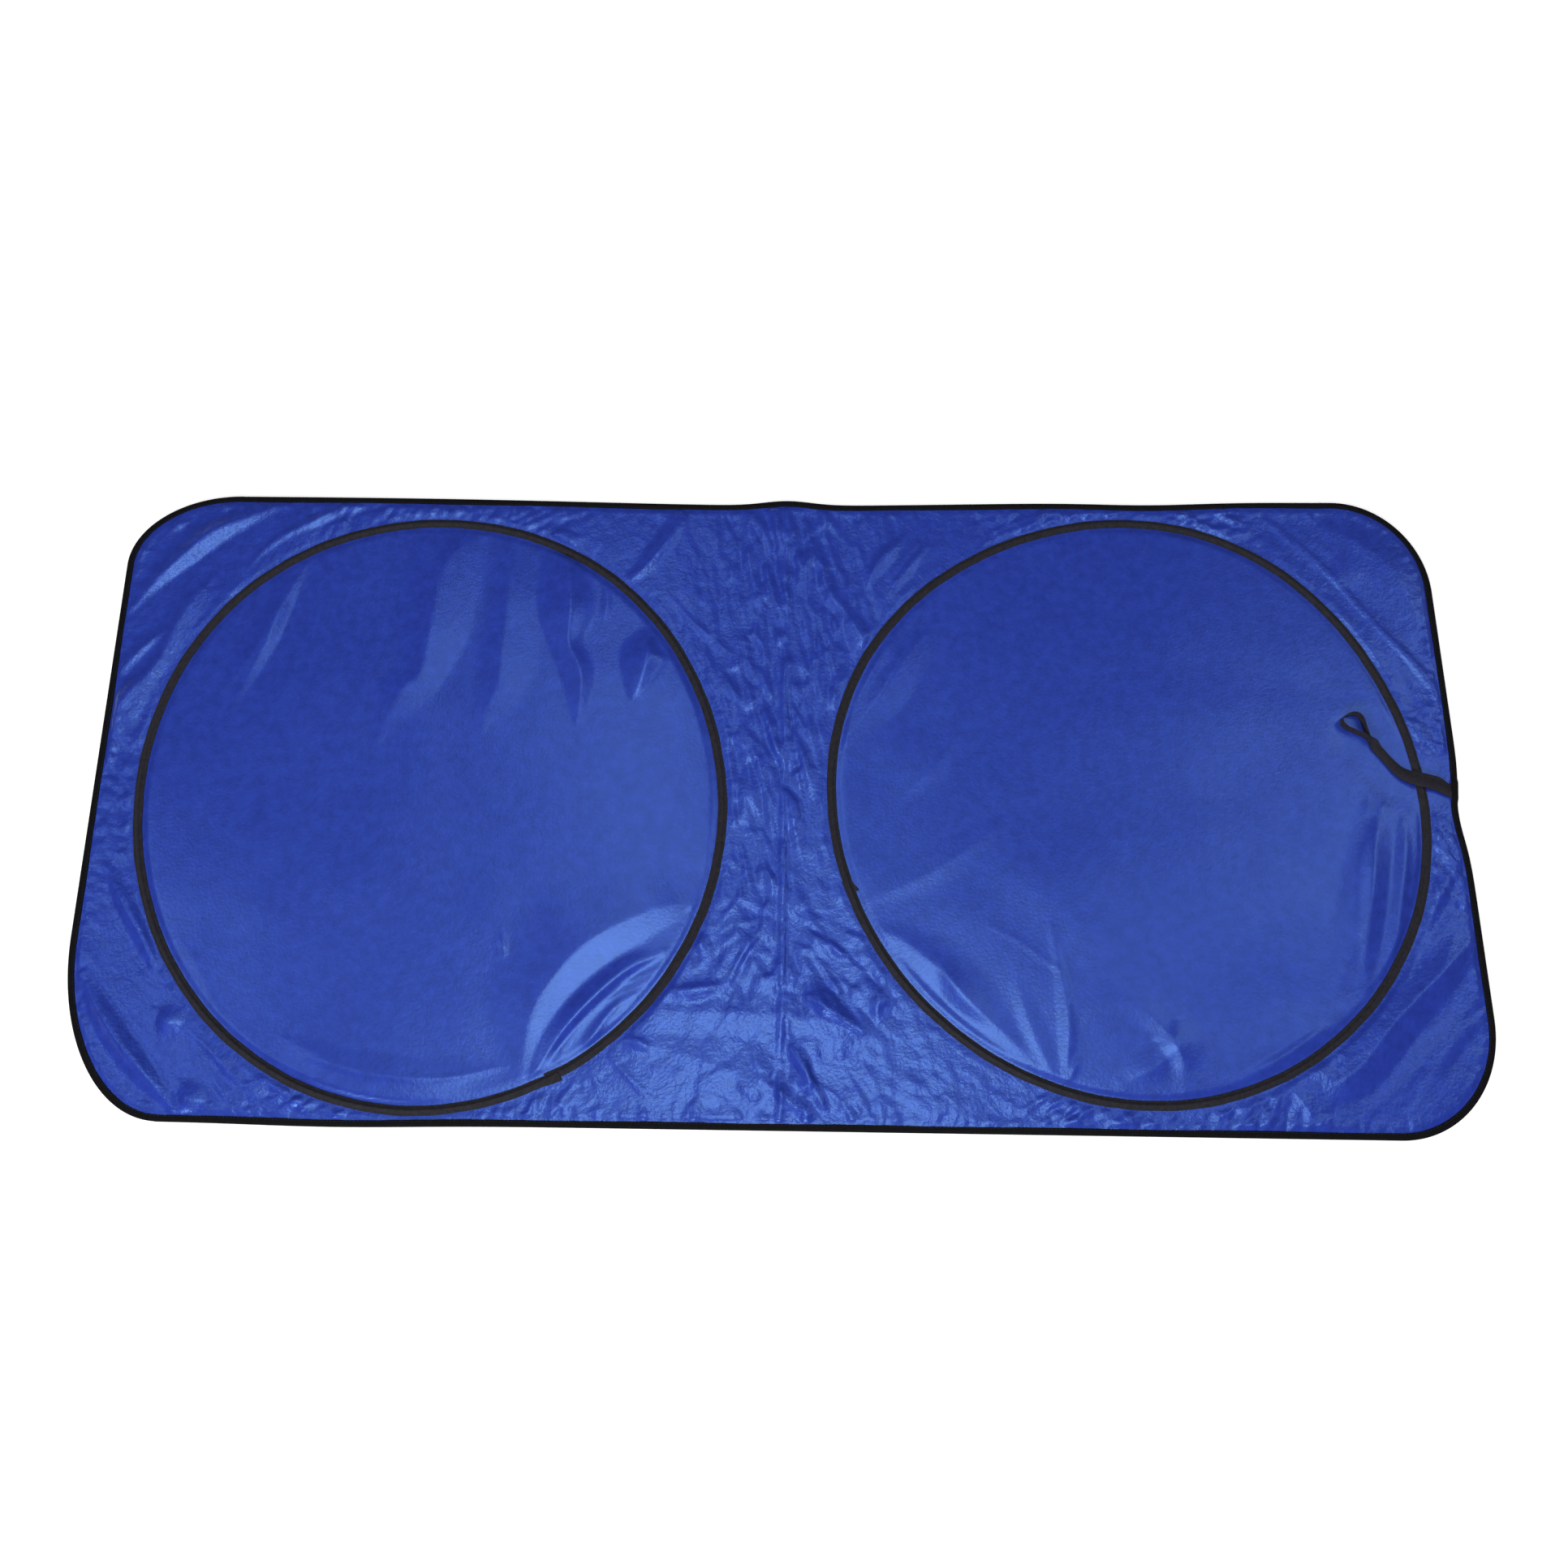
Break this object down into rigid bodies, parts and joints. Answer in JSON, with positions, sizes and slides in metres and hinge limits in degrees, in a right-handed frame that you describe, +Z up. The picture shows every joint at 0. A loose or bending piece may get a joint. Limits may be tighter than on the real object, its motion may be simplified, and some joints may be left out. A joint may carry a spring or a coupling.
{
  "type": "folding car windscreen sunshade",
  "caption": "Folding car windscreen sunshade: a bound cloth sheet held open by spring-steel hoops in sewn tapes, with an elastic strap, lying flat.",
  "frame": {"origin": "on the ground below the middle of the sunshade's box", "axes": "+Z up, away from the ground; +X along the length, towards the end with the strap; +Y towards the upper edge of the sheet"},
  "size_m": [1.453, 0.701, 0.0114],
  "materials": {
    "cloth": "thin blue nylon taffeta with a soft sheen",
    "binding": "black woven binding tape",
    "tape": "charcoal woven tape, stitched along both edges",
    "spring_steel": "drawn spring steel wire",
    "ferrule": "plated steel tube",
    "elastic": "black woven elastic with fine ribs"
  },
  "bodies": {
    "root": {"cloth_sheet": "cloth", "edge_binding": "binding", "left_hoop_tape": "tape", "right_hoop_tape": "tape", "left_hoop_wire": "spring_steel", "right_hoop_wire": "spring_steel", "left_hoop_ferrule": "ferrule", "right_hoop_ferrule": "ferrule", "elastic_strap": "elastic"}
  },
  "joints": []
}
